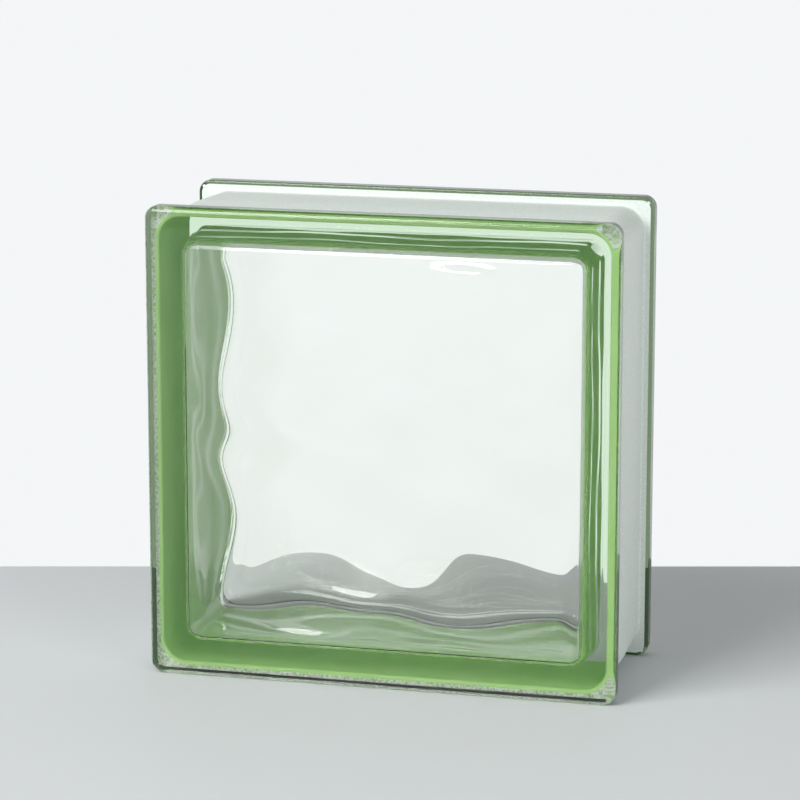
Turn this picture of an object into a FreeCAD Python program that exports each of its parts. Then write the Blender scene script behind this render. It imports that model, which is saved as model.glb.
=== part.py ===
# Hollow glass block, 190 x 190 x 80 mm. Millimetres, +Z up, the front face looks along -Y.
# Two pressed half shells, each a pane with a flange and half of the side wall, are fused
# at mid depth. The mortar groove round the outside carries a thin sprayed coating.
import math
import os

import FreeCAD
import Part

os.makedirs("parts", exist_ok=True)
V = FreeCAD.Vector

# outside
face_size = 190.0          # side of the square faces
depth = 80.0               # over both faces
corner_r = 5.0             # outline corners of a face
flange_t = 8.0             # thickness of a flange along Y
face_edge_r = 2.5          # rounding round the outside of a face
flange_back_r = 0.8        # rounding on the groove side of a flange

# mortar groove
groove_at_flange = 4.6     # how far the side wall stands in beside a flange
groove_at_seam = 3.6       # and at mid depth, where the shells are fused
wall_corner_r = 9.0        # outside corners of the side wall
groove_fillet_r = 1.6      # between flange and side wall
wall_bury = 2.0            # how far the side wall runs into a flange

# cavity
pane_t = 8.0               # mean thickness of a pane
wall_t_pane = 8.6          # side wall beside the pane
wall_t_seam = 7.6          # side wall at the seam, thinner by the plunger's draft
cavity_corner_r = 7.0      # upright corners of the cavity
cavity_fillet_r = 4.0      # between pane and side wall
pane_land = 1.1            # how far the fillet's end plane lies below the mean pane face

# waves pressed into the inner face of each pane
wave_height = 1.0          # crest above the mean, of both waves together
wave_one_share = 0.6       # the first wave's share of that height
wave_one_x = 88.0          # crest spacing of the first wave along X
wave_one_z = 46.0          # and along Z
wave_two_x = 64.0          # the second wave leans the other way
wave_two_z = 78.0
bend_one = 0.16            # how far the first wave's crests wander, in wavelengths
bend_one_z = 97.0          # and over what height
bend_two = 0.14
bend_two_x = 83.0
wave_nodes = 33            # interpolation points along each side of a pane
back_shift = 0.37          # how far the back pane's waves lag the front's, in wavelengths

# sprayed coating in the groove
coat_t = 0.5               # thickness
coat_edge = 1.5            # bare width of the flange outside the coating

half = face_size / 2.0
y_face = depth / 2.0
y_flange = y_face - flange_t


def rounded_wire(y, a, r):
    """Square outline of half width a with corner radius r, in the plane Y = y."""
    k = a - r
    d = r * math.sqrt(0.5)
    z0 = half
    corners = [(1, 1), (-1, 1), (-1, -1), (1, -1)]
    edges = []
    for i in range(4):
        sx, sz = corners[i]
        nx, nz = corners[(i + 1) % 4]
        first = V(sx * a, y, z0 + sz * k)
        last = V(sx * k, y, z0 + sz * a)
        if sx * sz < 0:
            first, last = last, first
        mid = V(sx * (k + d), y, z0 + sz * (k + d))
        edges.append(Part.Arc(first, mid, last).toShape())
        if sx * sz < 0:
            start = V(sx * a, y, z0 + sz * k)
        else:
            start = V(sx * k, y, z0 + sz * a)
        if nx * nz < 0:
            end = V(nx * k, y, z0 + nz * a)
        else:
            end = V(nx * a, y, z0 + nz * k)
        edges.append(Part.makeLine(start, end))
    return Part.Wire(edges)


def slab(y0, y1, a, r):
    """Prism with the rounded square outline between two planes."""
    face = Part.Face(rounded_wire(y0, a, r))
    return face.extrude(V(0, y1 - y0, 0))


def tapered(y0, a0, r0, y1, a1, r1):
    """Tapered prism between two rounded square outlines."""
    return Part.makeLoft([rounded_wire(y0, a0, r0), rounded_wire(y1, a1, r1)], True, True)


def edges_at(shape, y, a):
    """Edges that lie in the plane Y = y on the outline of half width a."""
    found = []
    for edge in shape.Edges:
        box = edge.BoundBox
        if abs(box.YMin - y) > 1e-4 or abs(box.YMax - y) > 1e-4:
            continue
        reach = max(abs(box.XMin), abs(box.XMax), abs(box.ZMin - half), abs(box.ZMax - half))
        mid = edge.valueAt((edge.FirstParameter + edge.LastParameter) / 2.0)
        far = max(abs(mid.x), abs(mid.z - half))
        if abs(reach - a) < 1e-3 and far > a - wall_corner_r:
            found.append(edge)
    return found


def outside(grow):
    """Front half of the outer form; grow thickens the groove side by that much."""
    wall_a0 = half - groove_at_flange + grow
    wall_a1 = half - groove_at_seam + grow
    back = -y_flange + grow
    flange = slab(-y_face, back, half, corner_r)
    flange = flange.makeFillet(face_edge_r, edges_at(flange, -y_face, half))
    flange = flange.makeFillet(flange_back_r, edges_at(flange, back, half))
    slope = (wall_a1 - wall_a0) / y_flange
    start = -y_flange - wall_bury
    wall = tapered(start, wall_a0 - wall_bury * slope, wall_corner_r, 0.0, wall_a1, wall_corner_r)
    body = flange.fuse(wall).removeSplitter()
    root = []
    for edge in body.Edges:
        box = edge.BoundBox
        if abs(box.YMin - back) > 1e-3 or abs(box.YMax - back) > 1e-3:
            continue
        reach = max(abs(box.XMin), abs(box.XMax), abs(box.ZMin - half), abs(box.ZMax - half))
        if abs(reach - wall_a0) < 0.2:
            root.append(edge)
    return body.makeFillet(groove_fillet_r - grow, root)


def wave(x, z, shift):
    """Height of the pressed waves above the mean pane face."""
    turn = 2.0 * math.pi
    one = x / wave_one_x + z / wave_one_z + bend_one * math.sin(turn * z / bend_one_z) + shift
    two = x / wave_two_x - z / wave_two_z + bend_two * math.sin(turn * x / bend_two_x) - shift
    share = wave_one_share * math.sin(turn * one) + (1.0 - wave_one_share) * math.sin(turn * two)
    return wave_height * share


def cavity(shift):
    """Front half of the hollow, with the waves on its pane side."""
    a0 = half - groove_at_flange - wall_t_pane
    a1 = half - groove_at_seam - wall_t_seam
    end = -y_face + pane_t - pane_land
    core = tapered(end, a0, cavity_corner_r, 0.0, a1, cavity_corner_r)
    core = core.makeFillet(cavity_fillet_r, edges_at(core, end, a0))
    rows = []
    span = face_size - 2.0 * groove_at_flange
    for i in range(wave_nodes):
        row = []
        x = -span / 2.0 + span * i / (wave_nodes - 1)
        for j in range(wave_nodes):
            z = -span / 2.0 + span * j / (wave_nodes - 1)
            row.append(V(x, -y_face + pane_t + wave(x, z, shift), half + z))
        rows.append(row)
    surface = Part.BSplineSurface()
    surface.interpolate(rows)
    waves = surface.toShape().extrude(V(0, depth, 0))
    if waves.Volume < 0:
        waves.reverse()
    return core.common(waves)


def one_solid(shape, name):
    shape = shape.removeSplitter()
    if len(shape.Solids) != 1 or not shape.isValid():
        raise RuntimeError("%s: %d solids, valid %s" % (name, len(shape.Solids), shape.isValid()))
    return shape.Solids[0]


def turned(shape):
    """The same form turned half a turn about Z, for the back half."""
    other = shape.copy()
    other.rotate(V(0, 0, 0), V(0, 0, 1), 180)
    return other


front_outside = outside(0.0)
front_shell = one_solid(front_outside.cut(cavity(0.0)), "front_shell")
back_shell = one_solid(turned(front_outside.cut(cavity(back_shift))), "back_shell")

grown = outside(coat_t)
limit = slab(-y_face, 0.0, half - coat_edge, corner_r - coat_edge)
coat_front = grown.cut(front_outside).common(limit)
edge_coating = one_solid(coat_front.fuse(turned(coat_front)), "edge_coating")

for node, shape in (
    ("front_shell", front_shell),
    ("back_shell", back_shell),
    ("edge_coating", edge_coating),
):
    shape.exportStep("parts/%s.step" % node)
    box = shape.BoundBox
    print("%-13s %9.1f mm3  X %.2f %.2f  Y %.2f %.2f  Z %.2f %.2f" % (
        node, shape.Volume, box.XMin, box.XMax, box.YMin, box.YMax, box.ZMin, box.ZMax))
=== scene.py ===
import math
import bmesh
import bpy
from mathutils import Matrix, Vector


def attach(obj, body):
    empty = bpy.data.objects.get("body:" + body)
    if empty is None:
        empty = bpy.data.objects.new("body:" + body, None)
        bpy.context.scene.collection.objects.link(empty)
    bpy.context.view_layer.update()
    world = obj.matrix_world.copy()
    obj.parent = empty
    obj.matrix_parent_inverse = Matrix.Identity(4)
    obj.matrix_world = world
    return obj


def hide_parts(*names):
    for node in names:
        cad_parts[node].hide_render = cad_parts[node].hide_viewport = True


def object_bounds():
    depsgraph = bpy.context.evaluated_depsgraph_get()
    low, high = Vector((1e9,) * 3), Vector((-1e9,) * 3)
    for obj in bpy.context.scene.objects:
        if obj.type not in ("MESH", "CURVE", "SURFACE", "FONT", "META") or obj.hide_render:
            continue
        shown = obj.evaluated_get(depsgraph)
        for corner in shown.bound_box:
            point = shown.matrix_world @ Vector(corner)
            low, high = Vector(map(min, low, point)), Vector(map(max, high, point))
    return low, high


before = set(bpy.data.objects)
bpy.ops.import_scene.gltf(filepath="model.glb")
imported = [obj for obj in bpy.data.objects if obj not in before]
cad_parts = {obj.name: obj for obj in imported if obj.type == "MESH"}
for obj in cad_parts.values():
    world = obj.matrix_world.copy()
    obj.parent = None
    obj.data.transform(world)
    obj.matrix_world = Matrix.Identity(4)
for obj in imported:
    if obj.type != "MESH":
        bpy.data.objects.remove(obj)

cadLow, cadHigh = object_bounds()
scene = bpy.context.scene
mm = 0.001
width = cadHigh.x - cadLow.x
depth = cadHigh.y - cadLow.y
midZ = (cadHigh.z + cadLow.z) / 2
near = 1e-6                    # how close two places are that count as one


def linear(hexColor):
    # sRGB hex to linear, with alpha 1
    parts = [int(hexColor[i:i + 2], 16) / 255 for i in (0, 2, 4)]
    return [c / 12.92 if c <= 0.04045 else ((c + 0.055) / 1.055) ** 2.4 for c in parts] + [1.0]


def addNode(tree, kind, settings=None, inputs=None):
    # inputs: socket name or number -> value, or (node, output) to link from
    node = tree.nodes.new(kind)
    for key, value in (settings or {}).items():
        setattr(node, key, value)
    for key, value in (inputs or {}).items():
        if isinstance(value, tuple) and hasattr(value[0], "outputs"):
            tree.links.new(value[0].outputs[value[1]], node.inputs[key])
        else:
            node.inputs[key].default_value = value
    return node


def newMaterial(name):
    material = bpy.data.materials.new(name)
    material.use_nodes = True
    material.node_tree.nodes.clear()
    return material, material.node_tree


def startEdit(obj, mode):
    bpy.ops.object.select_all(action="DESELECT")
    bpy.context.view_layer.objects.active = obj
    obj.select_set(True)
    bpy.ops.object.mode_set(mode="EDIT")
    bpy.ops.mesh.select_mode(type=mode)
    bpy.ops.mesh.select_all(action="DESELECT")


def endEdit():
    bpy.ops.object.mode_set(mode="OBJECT")


def pick(obj, kind, test):
    # selects the faces, edges or verts that pass the test
    mesh = bmesh.from_edit_mesh(obj.data)
    found = 0
    for item in getattr(mesh, kind):
        if test(item):
            item.select_set(True)
            found += 1
    mesh.select_flush_mode()
    bmesh.update_edit_mesh(obj.data)
    return found


def alongY(edge):
    a, b = edge.verts
    return abs(a.co.x - b.co.x) < near and abs(a.co.z - b.co.z) < near


def atY(item, y):
    # whether an edge or face lies in the plane at y
    return all(abs(v.co.y - y) < near for v in item.verts)


def reach(co):
    # how far out of the block's axis a point is, measured square
    return max(abs(co.x), abs(co.z - midZ))


def newBox(name, halfSide, y0, y1):
    bpy.ops.object.select_all(action="DESELECT")
    bpy.ops.mesh.primitive_cube_add(
        size=1, location=(0, (y0 + y1) / 2, midZ), scale=(2 * halfSide, y1 - y0, 2 * halfSide))
    box = bpy.context.object
    box.name = box.data.name = name
    bpy.ops.object.transform_apply(location=True, rotation=True, scale=True)
    return box


def applyModifiers(obj):
    bpy.ops.object.select_all(action="DESELECT")
    bpy.context.view_layer.objects.active = obj
    obj.select_set(True)
    for modifier in list(obj.modifiers):
        bpy.ops.object.modifier_apply(modifier=modifier.name)


def joinBySolid(obj, tool, operation):
    modifier = obj.modifiers.new("solid", "BOOLEAN")
    modifier.operation = operation
    modifier.solver = "EXACT"
    modifier.object = tool
    applyModifiers(obj)
    bpy.data.objects.remove(tool)


glassLook = {
    "ior": 1.52,
    "roughness": 0.0,
    "tint": "d7f3ce",          # what a long way through the glass leaves
    "tintPerMetre": 12.0,
    "rimTintWithPaintedShade": "4f7040",       # what going in and out through a flange's rim leaves: the glass's own green, darkened with painted shade for the dim surroundings and the lacquer seen round inside the rim
}


def makeGlass(name, color):
    # pressed soda-lime glass: fire-polished, clear in a pane, faintly green along a long way
    material, tree = newMaterial(name)
    surface = addNode(tree, "ShaderNodeBsdfPrincipled", None, {
        "Base Color": color,
        "Roughness": glassLook["roughness"],
        "IOR": glassLook["ior"],
        "Transmission Weight": 1.0,
    })
    volume = addNode(tree, "ShaderNodeVolumeAbsorption", None, {
        "Color": linear(glassLook["tint"]),
        "Density": glassLook["tintPerMetre"],
    })
    addNode(tree, "ShaderNodeOutputMaterial", None, {
        "Surface": (surface, "BSDF"), "Volume": (volume, "Volume")})
    return material


lacquerLook = {
    "green": "b6ea88",
    "thin": "d2f6ac",
    "cloudMm": 26.0,
    "roughness": 0.55,
}


def makeLacquer():
    # acrylic lacquer sprayed on the side wall: seen from within, bonded, so it has no gloss of its own
    material, tree = newMaterial("greenAcrylicLacquer")
    place = addNode(tree, "ShaderNodeTexCoord")
    clouds = addNode(tree, "ShaderNodeTexNoise", None, {
        "Vector": (place, "Object"), "Scale": 1 / (lacquerLook["cloudMm"] * mm), "Detail": 3.0})
    blend = addNode(tree, "ShaderNodeMix", {"data_type": "RGBA"}, {
        0: (clouds, "Fac"), 6: linear(lacquerLook["green"]), 7: linear(lacquerLook["thin"])})
    surface = addNode(tree, "ShaderNodeBsdfPrincipled", None, {
        "Base Color": (blend, 2), "Roughness": lacquerLook["roughness"], "Specular IOR Level": 0.0})
    addNode(tree, "ShaderNodeOutputMaterial", None, {"Surface": (surface, "BSDF")})
    return material


coatLook = {
    "white": "d6ddd7",
    "thin": "b6c3b9",
    "specks": "f0f8ec",        # on a flange the coat shows through the glass as white specks
    "greenUnder": "a3c68a",    # with green between them
    "speckMm": 0.9,
    "roughness": 0.6,
}


def makeCoat(name, white, thin, strength):
    # matt white polymer coat, sprayed: a fine grain with thin places where the glass shows
    material, tree = newMaterial(name)
    place = addNode(tree, "ShaderNodeTexCoord")
    specks = addNode(tree, "ShaderNodeTexNoise", None, {
        "Vector": (place, "Object"), "Scale": 1 / (coatLook["speckMm"] * mm), "Detail": 2.0})
    ramp = addNode(tree, "ShaderNodeMapRange", None, {
        "Value": (specks, "Fac"), "From Min": 0.42, "From Max": 0.68, "To Min": 0.0, "To Max": strength})
    blend = addNode(tree, "ShaderNodeMix", {"data_type": "RGBA"}, {
        0: (ramp, "Result"), 6: linear(white), 7: linear(thin)})
    bump = addNode(tree, "ShaderNodeBump", None, {
        "Height": (specks, "Fac"), "Strength": 0.35, "Distance": 0.2 * mm})
    surface = addNode(tree, "ShaderNodeBsdfPrincipled", None, {
        "Base Color": (blend, 2), "Roughness": coatLook["roughness"], "Normal": (bump, "Normal")})
    addNode(tree, "ShaderNodeOutputMaterial", None, {"Surface": (surface, "BSDF")})
    return material


glass = makeGlass("pressedSodaLimeGlass", (1, 1, 1, 1))
rimGlassWithPaintedShade = makeGlass("greenRimGlassWithPaintedShade", linear(glassLook["rimTintWithPaintedShade"]))     # light comes out of a rim green; the dark green is partly the glass's own tint and partly painted shade
lacquer = makeLacquer()
coat = makeCoat("whitePolymerCoat", coatLook["white"], coatLook["thin"], 0.5)
coatInside = makeCoat("whiteCoatUnderGlass", coatLook["specks"], coatLook["greenUnder"], 1.0)
print("materials made")

outside = {
    "cornerR": 5.0 * mm,       # outline corners of a face
    "flangeT": 8.0 * mm,
    "faceEdgeR": 2.5 * mm,
    "flangeBackR": 0.8 * mm,
    "grooveAtFlange": 4.6 * mm,
    "grooveAtSeam": 3.6 * mm,
    "wallCornerR": 9.0 * mm,
    "filletR": 1.6 * mm,
    "wallIntoFlange": 3.0 * mm,
    "seamR": 2.0 * mm,         # rounding along the fused seam
    "smoothAngle": 28,         # faces that meet at less than this, in degrees, shade as one
    "evenWeight": 80,
}
coatSize = {
    "edge": 1.5 * mm,          # bare glass outside the coat
    "gap": 0.03 * mm,          # a hair between the glass's own skin and the coat
    "thickness": 0.45 * mm,
}
faceY = depth / 2
flangeY = faceY - outside["flangeT"]
half = width / 2
wallHalf = half - outside["grooveAtFlange"]
seamHalf = half - outside["grooveAtSeam"]


def makeFlange(name, side):
    # side -1 is the front; the face lies at side * faceY
    y0, y1 = sorted((side * faceY, side * flangeY))
    flange = newBox(name, half, y0, y1)
    startEdit(flange, "EDGE")
    pick(flange, "edges", alongY)
    bpy.ops.mesh.bevel(offset=outside["cornerR"], segments=10, offset_type="OFFSET")
    bpy.ops.mesh.select_all(action="DESELECT")
    pick(flange, "edges", lambda e: atY(e, side * faceY))
    bpy.ops.mesh.bevel(offset=outside["faceEdgeR"], segments=7)
    bpy.ops.mesh.select_all(action="DESELECT")
    pick(flange, "edges", lambda e: atY(e, side * flangeY))
    bpy.ops.mesh.bevel(offset=outside["flangeBackR"], segments=4)
    bpy.ops.mesh.select_mode(type="FACE")
    bpy.ops.mesh.select_all(action="DESELECT")
    pick(flange, "faces", lambda f: atY(f, side * flangeY))
    bpy.ops.mesh.inset(thickness=coatSize["edge"] - outside["flangeBackR"], use_even_offset=True)
    endEdit()
    return flange


def makeWall():
    # side wall with the fused seam standing proud at mid depth; its ends are buried in the flanges
    into = outside["wallIntoFlange"]
    endHalf = wallHalf - into * (seamHalf - wallHalf) / flangeY
    wall = newBox("wall", endHalf, -flangeY - into, flangeY + into)
    startEdit(wall, "FACE")
    bpy.ops.mesh.select_all(action="SELECT")
    bpy.ops.mesh.bisect(plane_co=(0, 0, 0), plane_no=(0, 1, 0))
    bpy.ops.mesh.select_mode(type="VERT")
    bpy.ops.mesh.select_all(action="DESELECT")
    pick(wall, "verts", lambda v: abs(v.co.y) < near)
    grow = seamHalf / endHalf
    bpy.ops.transform.resize(value=(grow, 1, grow), center_override=(0, 0, midZ))
    bpy.ops.mesh.select_mode(type="EDGE")
    bpy.ops.mesh.select_all(action="DESELECT")
    pick(wall, "edges", lambda e: abs(e.verts[0].co.y - e.verts[1].co.y) > mm)
    bpy.ops.mesh.bevel(offset=outside["wallCornerR"], segments=12)
    bpy.ops.mesh.select_all(action="DESELECT")
    pick(wall, "edges", lambda e: atY(e, 0))
    bpy.ops.mesh.bevel(offset=outside["seamR"], segments=4)
    endEdit()
    return wall


def filletRoots(obj):
    # the inner corners between side wall and flanges: sharp edges in a flange's plane, on the wall
    startEdit(obj, "EDGE")
    sharp = 0.5
    count = pick(obj, "edges", lambda e: all(
        abs(abs(v.co.y) - flangeY) < 10 * near and reach(v.co) < wallHalf + 0.05 * mm for v in e.verts)
        and e.calc_face_angle(0) > sharp)
    bpy.ops.mesh.bevel(offset=outside["filletR"], segments=5)
    endEdit()
    return count


body = makeFlange("glassBody", -1)
joinBySolid(body, makeWall(), "UNION")
joinBySolid(body, makeFlange("backFlange", 1), "UNION")
print("outside joined,", filletRoots(body), "root edges filleted")

hollow = {
    "paneT": 8.0 * mm,
    "wallAtPane": 8.6 * mm,
    "wallAtSeam": 7.6 * mm,
    "cornerR": 7.0 * mm,
    "filletR": 4.0 * mm,
    "waveHeight": 1.0 * mm,    # crest above the mean, of both waves together
    "waveOne": (88.0 * mm, 46.0 * mm),     # crest spacing along X and along Z
    "waveTwo": (64.0 * mm, 78.0 * mm),
    "oneShare": 0.6,           # the first wave's share of the height
    "bendOne": (0.16, 97.0 * mm),          # how far its crests wander, and over what height
    "bendTwo": (0.14, 83.0 * mm),
    "backShift": 0.37,         # how far the back pane's waves lag the front's
    "waveFade": 5.0 * mm,      # the waves die out over this much before the fillet
    "cell": 1.6 * mm,          # spacing of the mesh on the wavy faces
    "rippleHeight": 0.35 * mm,  # plunger marks on the side walls
    "rippleY": 15.0 * mm,      # from crest to crest through the block
    "rippleRound": 90.0 * mm,  # and how far round it their bends repeat
    "rippleBend": 0.15,
    "ridgeShare": 0.75,
    "swell": (2.7, 0.4),       # the slower swell's turns for each bend and for each crest
    "rippleFade": 6.0 * mm,
    "rippleCell": (2.0 * mm, 4.0 * mm),
}


def wave(x, z, shift):
    turn = 2 * math.pi
    (oneX, oneZ), (twoX, twoZ) = hollow["waveOne"], hollow["waveTwo"]
    (bendOne, bendOneZ), (bendTwo, bendTwoX) = hollow["bendOne"], hollow["bendTwo"]
    one = math.sin(turn * (x / oneX + z / oneZ + bendOne * math.sin(turn * z / bendOneZ) + shift))
    two = math.sin(turn * (x / twoX - z / twoZ + bendTwo * math.sin(turn * x / bendTwoX) - shift))
    share = hollow["oneShare"]
    return hollow["waveHeight"] * (share * one + (1 - share) * two)


def ripple(y, along):
    turn = 2 * math.pi
    bends, crests = along / hollow["rippleRound"], y / hollow["rippleY"]
    ridges = math.sin(turn * (crests + hollow["rippleBend"] * math.sin(turn * bends)))
    swellBends, swellCrests = hollow["swell"]
    swell = math.sin(turn * (swellBends * bends + swellCrests * crests))
    share = hollow["ridgeShare"]
    return hollow["rippleHeight"] * (share * ridges + (1 - share) * swell)


def smoothStep(t):
    t = min(1.0, max(0.0, t))
    return t * t * (3 - 2 * t)


def spread(span, step):
    # evenly spaced places between -span / 2 and span / 2, without the ends
    count = int(span / step)
    return [-span / 2 + span * i / count for i in range(1, count)]


def cutAcross(obj, test, normal, places):
    # cuts the faces that pass the test with a plane at each place along the normal
    for place in places:
        bpy.ops.mesh.select_all(action="DESELECT")
        pick(obj, "faces", test)
        point = Vector((0, 0, midZ)) + place * Vector(normal)
        bpy.ops.mesh.bisect(plane_co=point, plane_no=normal)


def makeHollow():
    paneY = faceY - hollow["paneT"]
    sideAtPane = wallHalf - hollow["wallAtPane"]
    sideAtSeam = seamHalf - hollow["wallAtSeam"]
    inner = newBox("hollow", sideAtPane, -paneY, paneY)
    startEdit(inner, "FACE")
    bpy.ops.mesh.select_all(action="SELECT")
    bpy.ops.mesh.bisect(plane_co=(0, 0, 0), plane_no=(0, 1, 0))
    bpy.ops.mesh.select_mode(type="VERT")
    bpy.ops.mesh.select_all(action="DESELECT")
    pick(inner, "verts", lambda v: abs(v.co.y) < near)
    grow = sideAtSeam / sideAtPane
    bpy.ops.transform.resize(value=(grow, 1, grow), center_override=(0, 0, midZ))
    bpy.ops.mesh.select_mode(type="EDGE")
    bpy.ops.mesh.select_all(action="DESELECT")
    pick(inner, "edges", lambda e: abs(e.verts[0].co.y - e.verts[1].co.y) > mm)
    bpy.ops.mesh.bevel(offset=hollow["cornerR"], segments=10)
    bpy.ops.mesh.select_all(action="DESELECT")
    pick(inner, "edges", lambda e: atY(e, -paneY) or atY(e, paneY))
    bpy.ops.mesh.bevel(offset=hollow["filletR"], segments=8)
    # a fine grid over each pane, and a coarser one over the side walls
    bpy.ops.mesh.select_mode(type="FACE")
    flat = sideAtPane - hollow["filletR"]
    for side in (-1, 1):
        for normal in ((1, 0, 0), (0, 0, 1)):
            cutAcross(inner, lambda f: atY(f, side * paneY), normal, spread(2 * flat, hollow["cell"]))
    wallY = paneY - hollow["filletR"]
    stepY, stepRound = hollow["rippleCell"]
    level = 0.08               # a side wall leans less than this
    square = 0.1
    cutAcross(inner, lambda f: abs(f.normal.y) < level, (0, 1, 0), spread(2 * wallY, stepY))
    for normal in ((1, 0, 0), (0, 0, 1)):
        cutAcross(inner, lambda f: abs(f.normal.y) < level and abs(f.normal.dot(Vector(normal))) < square,
                  normal, spread(2 * flat, stepRound))
    endEdit()
    # the waves on the panes and the ripples on the side walls both die out before the fillet
    places = []
    for vertex in inner.data.vertices:
        x, y, z = vertex.co.x, vertex.co.y, vertex.co.z - midZ
        if abs(abs(y) - paneY) < near:
            fade = smoothStep((flat - reach(vertex.co)) / hollow["waveFade"])
            lift = wave(x, z, 0.0) if y < 0 else -wave(-x, z, hollow["backShift"])
            places.append((vertex, vertex.co + Vector((0, fade * lift, 0))))
        elif abs(y) < wallY:
            fade = smoothStep((wallY - abs(y)) / hollow["rippleFade"])
            places.append((vertex, vertex.co + vertex.normal * fade * ripple(y, x - z)))
    for vertex, place in places:
        vertex.co = place
    startEdit(inner, "FACE")
    bpy.ops.mesh.select_all(action="SELECT")
    bpy.ops.mesh.normals_make_consistent(inside=True)   # the hollow's skin faces the air
    endEdit()
    return inner


hollowSkin = makeHollow()
print("hollow made,", len(hollowSkin.data.polygons), "faces")


def inGroove(face):
    # whether a face of the body lies under the coat
    edge = half - coatSize["edge"] + 10 * near
    between = abs(face.calc_center_median().y) < flangeY + 10 * near
    return between and all(reach(v.co) < edge for v in face.verts)


bodyMaterials = (glass, lacquer, coatInside, rimGlassWithPaintedShade)
body.data.materials.clear()
for material in bodyMaterials:
    body.data.materials.append(material)
startEdit(body, "FACE")
pick(body, "faces", inGroove)
bpy.ops.mesh.duplicate()
bpy.ops.mesh.separate(type="SELECTED")
mesh = bmesh.from_edit_mesh(body.data)
for face in mesh.faces:
    if inGroove(face):
        onFlange = all(abs(abs(v.co.y) - flangeY) < 10 * near for v in face.verts)
        face.material_index = bodyMaterials.index(coatInside if onFlange else lacquer)
    elif abs(face.calc_center_median().y) < faceY - outside["faceEdgeR"] + 10 * near:
        # the bare rims outside the coat get the darkened green glass: painted shade over the glass's own
        # green
        face.material_index = bodyMaterials.index(rimGlassWithPaintedShade)
bmesh.update_edit_mesh(body.data)
endEdit()
coating = [o for o in bpy.context.selected_objects if o != body][0]
coating.name = coating.data.name = "edgeCoating"
coating.data.materials.clear()
coating.data.materials.append(coat)
clear = coating.modifiers.new("clear", "DISPLACE")
clear.direction = "NORMAL"
clear.mid_level = 0.0
clear.strength = coatSize["gap"]
skin = coating.modifiers.new("thickness", "SOLIDIFY")
skin.thickness = coatSize["thickness"]
skin.offset = 1.0
skin.use_quality_normals = True
applyModifiers(coating)


# the hollow becomes the body's inner skin
bpy.ops.object.select_all(action="DESELECT")
hollowSkin.data.materials.append(glass)
hollowSkin.select_set(True)
body.select_set(True)
bpy.context.view_layer.objects.active = body
bpy.ops.object.join()

for obj in (body, coating):
    bpy.ops.object.select_all(action="DESELECT")
    obj.select_set(True)
    bpy.context.view_layer.objects.active = obj
    bpy.ops.object.shade_smooth_by_angle(angle=math.radians(outside["smoothAngle"]))
    even = obj.modifiers.new("evenNormals", "WEIGHTED_NORMAL")
    even.keep_sharp = True
    even.weight = outside["evenWeight"]
    applyModifiers(obj)
    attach(obj, "root")

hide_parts("front_shell", "back_shell")
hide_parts("edge_coating")
print("glass body and edge coating finished")

studio = {
    "floorColor": "cdd0d1",
    "floorSize": (1.5, 1.1, 0.04),
    "floorBehind": 0.15,       # how far behind the block the floor ends
    "floorTurn": 14.4,
    "backColor": "f4f6f8",
    "overhead": 0.35,          # how bright the studio is straight above, beside its bright walls
    "fallOff": (0.12, 0.5),    # heights between which it darkens, as sines of the elevation
    # each soft box: its place, its size and its power in watts
    "key": ((-0.9, -1.3, 1.35), (1.2, 1.0), 36.0),
    "fill": ((1.5, -1.3, 0.9), (1.0, 1.2), 10.5),
    "low": ((-0.5, -1.9, 0.68), (0.45, 0.3), 4.5),      # for the glints in the waves
}

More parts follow.
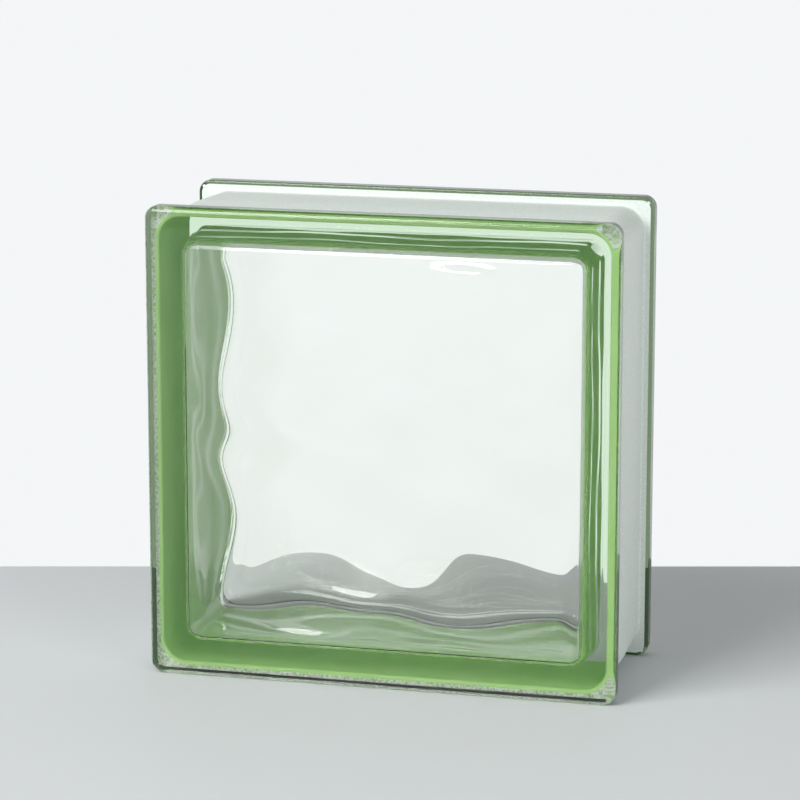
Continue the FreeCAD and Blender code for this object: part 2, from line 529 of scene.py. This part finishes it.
bpy.ops.object.select_all(action="DESELECT")
floorTurn = math.radians(studio["floorTurn"])
floorY = studio["floorBehind"] - studio["floorSize"][1] / 2
bpy.ops.mesh.primitive_cube_add(
    size=1, scale=studio["floorSize"], rotation=(0, 0, floorTurn),
    location=(-floorY * math.sin(floorTurn), floorY * math.cos(floorTurn),
              cadLow.z - studio["floorSize"][2] / 2))
floor = bpy.context.object
floor.name = "floor"
floorMaterial, tree = newMaterial("paleFloor")
plain = addNode(tree, "ShaderNodeBsdfPrincipled", None, {
    "Base Color": linear(studio["floorColor"]), "Roughness": 0.6})
addNode(tree, "ShaderNodeOutputMaterial", None, {"Surface": (plain, "BSDF")})
floor.data.materials.append(floorMaterial)

world = bpy.data.worlds.new("studio")
scene.world = world
world.use_nodes = True
world.node_tree.nodes.clear()
tree = world.node_tree
place = addNode(tree, "ShaderNodeTexCoord")
way = addNode(tree, "ShaderNodeSeparateXYZ", None, {"Vector": (place, "Generated")})
wallTop, ceiling = studio["fallOff"]
fall = addNode(tree, "ShaderNodeMapRange", None, {
    "Value": (way, "Z"), "From Min": wallTop, "From Max": ceiling,
    "To Min": 1.0, "To Max": studio["overhead"]})
walls = addNode(tree, "ShaderNodeBackground", None, {
    "Color": linear(studio["backColor"]), "Strength": (fall, "Result")})
addNode(tree, "ShaderNodeOutputWorld", None, {"Surface": (walls, "Background")})


def addLamp(name):
    place, size, power = studio[name]
    data = bpy.data.lights.new(name, "AREA")
    data.shape = "RECTANGLE"
    data.size, data.size_y = size
    data.energy = power
    lamp = bpy.data.objects.new(name, data)
    scene.collection.objects.link(lamp)
    lamp.location = place
    aim = Vector((0, 0, midZ)) - Vector(place)
    lamp.rotation_euler = aim.to_track_quat("-Z", "Y").to_euler()


for name in ("key", "fill", "low"):
    addLamp(name)

view = {
    "azimuth": 14.41,
    "elevation": 12.21,
    "distance": 1.372,
    "lens": 154.1,
    "target": (-0.0014, 0.0, 0.1090),
}
cameraData = bpy.data.cameras.new("camera")
cameraData.lens = view["lens"]
cameraData.sensor_width = 36
camera = bpy.data.objects.new("camera", cameraData)
scene.collection.objects.link(camera)
azimuth, elevation = math.radians(view["azimuth"]), math.radians(view["elevation"])
back = Vector((math.sin(azimuth), -math.cos(azimuth), math.tan(elevation))).normalized()
camera.location = Vector(view["target"]) + view["distance"] * back
camera.rotation_euler = (-back).to_track_quat("-Z", "Y").to_euler()
scene.camera = camera

scene.view_settings.view_transform = "Standard"
scene.cycles.max_bounces = 24
scene.cycles.transmission_bounces = 20
scene.cycles.glossy_bounces = 12
print("studio and camera set")
